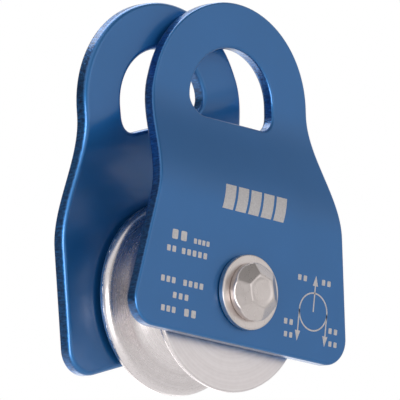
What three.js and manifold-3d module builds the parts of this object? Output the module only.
// Swing-cheek rope pulley: two identical joggled cheek plates turn on one axle, either side of
// a grooved sheave that runs on two ball bearings. Millimetres, +Z up, axle along Y, front at -Y.
// The origin is the centre of the rear cheek's eye, on the mid-plane between the cheeks.
import * as THREE from 'three';
import { mergeVertices } from 'three/addons/utils/BufferGeometryUtils.js';
import Module from 'manifold-3d';

const wasm = await Module();
wasm.setup();

// ---- driving dimensions ---------------------------------------------------------------------
const gap = 0.1;                    // drawn clearance between clamped or pressed faces

const frontSwing = 7.1;             // degrees clockwise from upright, seen from the front
const rearSwing = -14.6;

const cheekThickness = 3.5;
const cheekSpread = 28.8;           // outer face to outer face, beside the axle
const joggleDepth = 10.5;           // how far each plate steps in towards its eye
const joggleStart = 17.4;           // heights above the axle where the step starts and ends
const joggleEnd = 45.8;
const lobeRadius = 23.4;            // round top of the plate, about a centre above the axle
const lobeHeight = 43.5;
const sideSplay = 9.6;              // degrees that each straight side leans out towards the foot
const footDrop = 11.9;              // straight bottom edge below the axle
const footCorner = 6.0;
const eyeRadius = 12.6;             // D-shaped eye for the connector
const eyeHeight = 43.9;
const eyeFlat = 39.3;               // height of the eye's flat bottom
const eyeCorner = 4.3;
const cheekBore = 6.35;

const sheaveRadius = 22;
const sheaveWidth = 19.6;
const rimLand = 1.3;                // width of the flat rim on each side of the groove
const rimBevel = 0.35;
const rootRadius = 14;              // sheave radius at the bottom of the groove
const grooveRadius = 6.4;           // radius of the groove's round bottom

const bearingBore = 4.15;
const bearingRadius = 11;
const bearingWidth = 7;
const ballRadius = 1.984;
const ballPitch = 7.5;              // radius of the circle of ball centres
const ballCount = 7;
const racewayRadius = 2.15;
const innerLand = 6.05;             // shoulder radii of the two rings
const outerLand = 8.85;
const shieldSeat = 9.6;

const axleRadius = 4;
const tailRadius = 2.5;             // threaded tail that takes the cap nut
const headRadius = 6.5;
const headHeight = 3.7;
const plateauApothem = 3.37;        // flat top left between the six sloping flats
const flatSlope = 37;               // degrees of each sloping flat
const headTurn = -9;                // degrees that the six flats are turned about the axle
const washerRadius = 8.4;
const washerThickness = 1.6;
const sleeveRadius = 6;
const thrustRadius = 8;

// ---- places along the axle, measured outwards from the mid-plane ----------------------------
const cheekOuter = cheekSpread / 2;
const cheekInner = cheekOuter - cheekThickness;
const sheaveFace = sheaveWidth / 2;
const bearingOuterFace = sheaveFace - gap;
const bearingCentre = bearingOuterFace - bearingWidth / 2;
const bearingInnerFace = bearingOuterFace - bearingWidth;
const thrustInner = bearingOuterFace + gap;
const thrustOuter = cheekInner - 1.5 * gap;
const sleeveInner = thrustOuter + gap;
const sleeveOuter = cheekOuter + gap;
const washerInner = sleeveOuter + gap;
const washerOuter = washerInner + washerThickness;
const headBase = washerOuter + gap;
const headTop = headBase + headHeight;

// ---- geometry helpers -----------------------------------------------------------------------
const rad = THREE.MathUtils.degToRad;
const point = (x, y) => new THREE.Vector2(x, y);

// Points along an arc, both ends included; angles in degrees.
function arc(cx, cy, radius, from, to, steps) {
  return Array.from({ length: steps + 1 }, (_, i) => {
    const angle = rad(from + (to - from) * i / steps);
    return point(cx + radius * Math.cos(angle), cy + radius * Math.sin(angle));
  });
}

function toSolid(geometry) {
  const bare = geometry.clone();
  bare.deleteAttribute('normal');
  bare.deleteAttribute('uv');
  const merged = mergeVertices(bare);
  return new wasm.Manifold(new wasm.Mesh({
    numProp: 3,
    vertProperties: new Float32Array(merged.attributes.position.array),
    triVerts: new Uint32Array(merged.index.array),
  }));
}

function toGeometry(solid) {
  const mesh = solid.getMesh();
  const geometry = new THREE.BufferGeometry();
  geometry.setAttribute('position', new THREE.BufferAttribute(mesh.vertProperties, 3));
  geometry.setIndex(new THREE.BufferAttribute(mesh.triVerts, 1));
  geometry.computeVertexNormals();
  return geometry;
}

// A ring about Y with a square section, from one place along the axle to another.
function ring(innerRadius, outerRadius, low, high, sides) {
  return new THREE.LatheGeometry([
    point(innerRadius, low), point(outerRadius, low), point(outerRadius, high),
    point(innerRadius, high), point(innerRadius, low),
  ], sides);
}

// ---- cheek plate: lobe, straight splayed sides, flat foot, D eye, stepped in at its upper half
function cheekGeometry() {
  const splay = rad(sideSplay);
  const cornerHeight = footCorner - footDrop;
  const cornerX = (lobeRadius - footCorner + (lobeHeight - cornerHeight) * Math.sin(splay))
    / Math.cos(splay);
  const outline = new THREE.Shape([
    ...arc(cornerX, cornerHeight, footCorner, -90, sideSplay, 8),
    ...arc(0, lobeHeight, lobeRadius, sideSplay, 180 - sideSplay, 28),
    ...arc(-cornerX, cornerHeight, footCorner, 180 - sideSplay, 270, 8),
  ]);

  const eyeCornerHeight = eyeFlat + eyeCorner;
  const eyeCornerX = Math.sqrt((eyeRadius - eyeCorner) ** 2 - (eyeCornerHeight - eyeHeight) ** 2);
  const blend = THREE.MathUtils.radToDeg(Math.atan2(eyeCornerHeight - eyeHeight, eyeCornerX));
  outline.holes.push(new THREE.Path([
    ...arc(0, eyeHeight, eyeRadius, blend, 180 - blend, 24),
    ...arc(-eyeCornerX, eyeCornerHeight, eyeCorner, 180 - blend, 270, 7).slice(1),
    ...arc(eyeCornerX, eyeCornerHeight, eyeCorner, 270, 360 + blend, 7).slice(0, -1),
  ]));
  outline.holes.push(new THREE.Path(arc(0, 0, cheekBore, 0, 360, 40).slice(0, -1)));
  const blank = new THREE.ExtrudeGeometry(outline, { depth: cheekSpread, bevelEnabled: false });
  blank.rotateX(Math.PI / 2);

  // The section across the bend, swept from side to side.
  const steps = 12;
  const face = (offset) => Array.from({ length: steps + 1 }, (_, i) => {
    const t = i / steps;
    const stepIn = joggleDepth * t * t * (3 - 2 * t);
    return point(stepIn - cheekOuter + offset, joggleStart + (joggleEnd - joggleStart) * t);
  });
  const top = lobeHeight + lobeRadius + 1;
  const bottom = -footDrop - 1;
  const outerFace = [point(-cheekOuter, bottom), ...face(0), point(joggleDepth - cheekOuter, top)];
  const innerFace = [
    point(-cheekInner, bottom), ...face(cheekThickness), point(joggleDepth - cheekInner, top),
  ];
  const sweep = 2 * (cornerX + footCorner + 1);
  const bend = new THREE.ExtrudeGeometry(new THREE.Shape([...innerFace, ...outerFace.reverse()]),
    { depth: sweep, bevelEnabled: false });
  bend.applyMatrix4(new THREE.Matrix4().makeBasis(
    new THREE.Vector3(0, 1, 0), new THREE.Vector3(0, 0, 1), new THREE.Vector3(1, 0, 0)));
  bend.translate(-sweep / 2, 0, 0);
  return toGeometry(toSolid(blank).intersect(toSolid(bend)));
}

// ---- sheave: turned wheel with a round-bottomed groove and a bearing seat from each side
function sheaveGeometry() {
  const grooveCentre = rootRadius + grooveRadius;
  const mouth = sheaveFace - rimLand;
  const reach = Math.hypot(mouth, sheaveRadius - grooveCentre);
  const flank = THREE.MathUtils.radToDeg(
    Math.atan2(sheaveRadius - grooveCentre, mouth) - Math.acos(grooveRadius / reach));
  const groove = arc(0, 0, grooveRadius, -180 - flank, flank, 12)
    .map((p) => point(grooveCentre + p.y, p.x));
  const seat = bearingRadius + gap;
  const shoulder = bearingInnerFace - gap;
  const shoulderRadius = seat - 1.3;
  const profile = [
    point(seat, -sheaveFace),
    point(sheaveRadius - rimBevel, -sheaveFace), point(sheaveRadius, rimBevel - sheaveFace),
    point(sheaveRadius, -mouth), ...groove, point(sheaveRadius, mouth),
    point(sheaveRadius, sheaveFace - rimBevel), point(sheaveRadius - rimBevel, sheaveFace),
    point(seat, sheaveFace), point(seat, shoulder), point(shoulderRadius, shoulder),
    point(shoulderRadius, -shoulder), point(seat, -shoulder), point(seat, -sheaveFace),
  ];
  return new THREE.LatheGeometry(profile, 60);
}

// ---- deep-groove ball bearing, about its own centre
const bearingSides = 30;

function innerRingGeometry() {
  const half = bearingWidth / 2;
  const edge = THREE.MathUtils.radToDeg(Math.acos((ballPitch - innerLand) / racewayRadius));
  const raceway = arc(ballPitch, 0, racewayRadius, 180 + edge, 180 - edge, 5);
  return new THREE.LatheGeometry([
    point(bearingBore, -half), point(innerLand, -half), ...raceway, point(innerLand, half),
    point(bearingBore, half), point(bearingBore, -half),
  ], bearingSides);
}

function outerRingGeometry() {
  const half = bearingWidth / 2;
  const ledge = half - 0.7;
  const edge = THREE.MathUtils.radToDeg(Math.acos((outerLand - ballPitch) / racewayRadius));
  const raceway = arc(ballPitch, 0, racewayRadius, edge, -edge, 5);
  return new THREE.LatheGeometry([
    point(shieldSeat, -half), point(bearingRadius, -half), point(bearingRadius, half),
    point(shieldSeat, half), point(shieldSeat, ledge), point(outerLand, ledge), ...raceway,
    point(outerLand, -ledge), point(shieldSeat, -ledge), point(shieldSeat, -half),
  ], bearingSides);
}

function ballGeometry(radius) {
  return new THREE.SphereGeometry(radius, 10, 6);
}

function ballPlace(index) {
  const angle = 2 * Math.PI * index / ballCount;
  return new THREE.Vector3(ballPitch * Math.sin(angle), 0, ballPitch * Math.cos(angle));
}

function cageGeometry() {
  const halfWidth = 2.6;
  const halfThickness = 0.7;
  let cage = toSolid(ring(ballPitch - halfThickness, ballPitch + halfThickness,
    -halfWidth, halfWidth, 28));
  for (let i = 0; i < ballCount; i += 1) {
    const pocket = ballGeometry(ballRadius + 0.25);
    const place = ballPlace(i);
    pocket.translate(place.x, place.y, place.z);
    cage = cage.subtract(toSolid(pocket));
  }
  return toGeometry(cage);
}

// ---- axle ends: a round head cut back by six sloping flats that leave a small plateau
function cutFlats(turned, end) {
  const length = 2 * headTop;
  const apothemToCorner = 1 / Math.cos(Math.PI / 6);
  const small = plateauApothem * apothemToCorner;
  const large = (plateauApothem + length / Math.tan(rad(flatSlope))) * apothemToCorner;
  const pyramid = new THREE.CylinderGeometry(end > 0 ? small : large, end > 0 ? large : small,
    length, 6);
  pyramid.rotateY(rad(headTurn));
  return toGeometry(toSolid(turned).intersect(toSolid(pyramid)));
}

function axleBoltGeometry() {
  const shankEnd = washerOuter;
  const tailEnd = headTop - 1.1;
  return cutFlats(new THREE.LatheGeometry([
    point(0, -headTop), point(headRadius, -headTop), point(headRadius, -headBase),
    point(axleRadius, -headBase), point(axleRadius, shankEnd), point(tailRadius, shankEnd),
    point(tailRadius, tailEnd), point(0, tailEnd),
  ], 36), -1);
}

function capNutGeometry() {
  const threadRadius = tailRadius + gap;
  const threadEnd = headTop - 0.9;
  return cutFlats(new THREE.LatheGeometry([
    point(0, threadEnd), point(threadRadius, threadEnd), point(threadRadius, headBase),
    point(headRadius, headBase), point(headRadius, headTop), point(0, headTop),
  ], 36), 1);
}

// ---- materials ------------------------------------------------------------------------------
const material = (color, roughness, metalness) =>
  () => new THREE.MeshStandardMaterial({ color, roughness, metalness });
const blueAnodised = material('#4065a0', 0.42, 0.75);
const turnedAluminium = material('#c8c2c4', 0.35, 1);
const stainless = material('#b8b0ab', 0.3, 1);
const bearingSteel = material('#a9a9ad', 0.2, 1);
const bronze = material('#a9824a', 0.4, 1);

// ---- assembly -------------------------------------------------------------------------------
const pulley = new THREE.Group();
const axleLine = new THREE.Group();
axleLine.position.set(-eyeHeight * Math.sin(rad(rearSwing)), 0, -eyeHeight * Math.cos(rad(rearSwing)));
pulley.add(axleLine);

function addPart(parent, name, geometry, finish) {
  const mesh = new THREE.Mesh(geometry, finish());
  mesh.name = name;
  parent.add(mesh);
  return mesh;
}

const frontCheek = new THREE.Group();
frontCheek.rotation.y = rad(frontSwing);
addPart(frontCheek, 'front_cheek_plate', cheekGeometry(), blueAnodised);

const rearCheek = new THREE.Group();
rearCheek.rotation.y = rad(rearSwing);
addPart(rearCheek, 'rear_cheek_plate', cheekGeometry(), blueAnodised).rotation.z = Math.PI;
axleLine.add(frontCheek, rearCheek);

addPart(axleLine, 'sheave', sheaveGeometry(), turnedAluminium);
addPart(axleLine, 'axle_bolt', axleBoltGeometry(), stainless);
addPart(axleLine, 'axle_cap_nut', capNutGeometry(), stainless);
const spacerEnd = bearingInnerFace - gap;
addPart(axleLine, 'bearing_spacer', ring(bearingBore, 5.6, -spacerEnd, spacerEnd, 28), stainless);

const shieldFace = 0.3;             // how deep each shield sits below the bearing's side face
const shieldThickness = 0.25;

for (const [end, side] of [['front', -1], ['rear', 1]]) {
  // A ring between two distances from the mid-plane, on this end of the axle.
  const endRing = (innerRadius, outerRadius, near, far, sides) =>
    ring(innerRadius, outerRadius, Math.min(side * near, side * far),
      Math.max(side * near, side * far), sides);
  addPart(axleLine, `${end}_outer_washer`,
    endRing(bearingBore, washerRadius, washerInner, washerOuter, 44), stainless);
  addPart(axleLine, `${end}_cheek_sleeve`,
    endRing(bearingBore, sleeveRadius, sleeveInner, sleeveOuter, 32), bronze);
  addPart(axleLine, `${end}_thrust_washer`,
    endRing(bearingBore, thrustRadius, thrustInner, thrustOuter, 32), bronze);

  const bearing = new THREE.Group();
  bearing.position.y = side * bearingCentre;
  axleLine.add(bearing);
  addPart(bearing, `${end}_inner_ring`, innerRingGeometry(), bearingSteel);
  addPart(bearing, `${end}_outer_ring`, outerRingGeometry(), bearingSteel);
  addPart(bearing, `${end}_ball_cage`, cageGeometry(), bearingSteel);
  const shieldOuter = bearingWidth / 2 - shieldFace;
  for (const [place, way] of [['outer', side], ['inner', -side]]) {
    const near = way * shieldOuter;
    const far = way * (shieldOuter - shieldThickness);
    addPart(bearing, `${end}_${place}_shield`, ring(innerLand + 0.25, shieldSeat - 0.12,
      Math.min(near, far), Math.max(near, far), bearingSides), bearingSteel);
  }
  for (let i = 0; i < ballCount; i += 1) {
    addPart(bearing, `${end}_ball_${i + 1}`, ballGeometry(ballRadius), bearingSteel)
      .position.copy(ballPlace(i));
  }
}

export default pulley;
